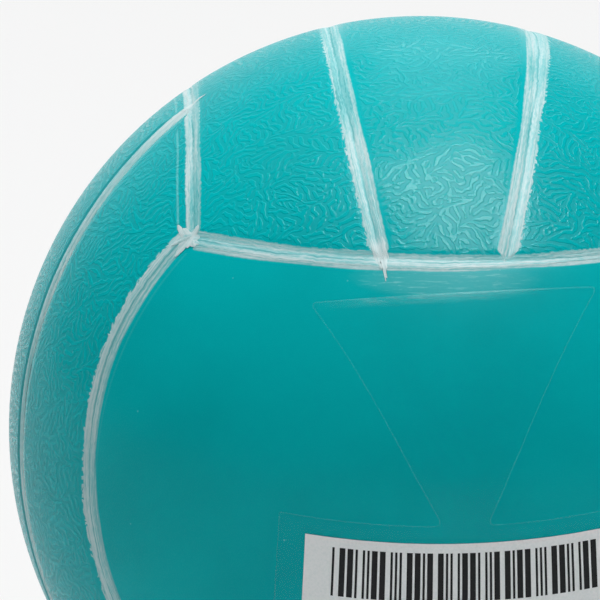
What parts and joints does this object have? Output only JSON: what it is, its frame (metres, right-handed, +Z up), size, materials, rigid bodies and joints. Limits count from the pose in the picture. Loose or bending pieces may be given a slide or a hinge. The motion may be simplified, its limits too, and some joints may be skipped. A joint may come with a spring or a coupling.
{
  "type": "play ball",
  "caption": "Hollow moulded play ball with volleyball-style strip panels, white painted seam lines, a push-in needle valve plug and a clear label film on its smooth front panel.",
  "frame": {"origin": "centre of the ball", "axes": "+Z up, -Y out of the smooth front panel with the label, +Y out of the valve, +X to the right seen from the front"},
  "size_m": [0.21, 0.2099, 0.21],
  "materials": {
    "skin_teal": "soft PVC, satin, worm-like moulded grain on the strips and smooth on the front panel",
    "seam_paint": "brushed white paint, thin and streaky",
    "clear_film": "clear self-adhesive film, glossy",
    "print_white": "opaque white print",
    "print_dark": "dark print",
    "valve_rubber": "soft pale rubber, matt"
  },
  "bodies": {
    "ball": {"ball_shell": "skin_teal", "corner_dabs": "seam_paint", "label_film": "clear_film", "label_block": "print_white", "label_bars": "print_dark", "edge_line_front_top": "seam_paint", "edge_line_front_bottom": "seam_paint", "edge_line_back_top": "seam_paint", "edge_line_back_bottom": "seam_paint", "edge_line_top_right": "seam_paint", "edge_line_top_left": "seam_paint", "edge_line_bottom_right": "seam_paint", "edge_line_bottom_left": "seam_paint", "edge_line_back_right": "seam_paint", "edge_line_back_left": "seam_paint", "edge_line_front_right": "seam_paint", "edge_line_front_left": "seam_paint", "strip_line_top_right": "seam_paint", "strip_line_top_left": "seam_paint", "strip_line_bottom_right": "seam_paint", "strip_line_bottom_left": "seam_paint", "strip_line_right_back": "seam_paint", "strip_line_right_front": "seam_paint", "strip_line_left_back": "seam_paint", "strip_line_left_front": "seam_paint", "strip_line_back_upper": "seam_paint", "strip_line_back_lower": "seam_paint"},
    "valve": {"valve_plug": "valve_rubber"}
  },
  "joints": [
    {"name": "valve_plug_pull", "type": "slide", "parent": "ball", "child": "valve", "axis": [0, 1, 0], "range_m": [0, 0.016]}
  ]
}
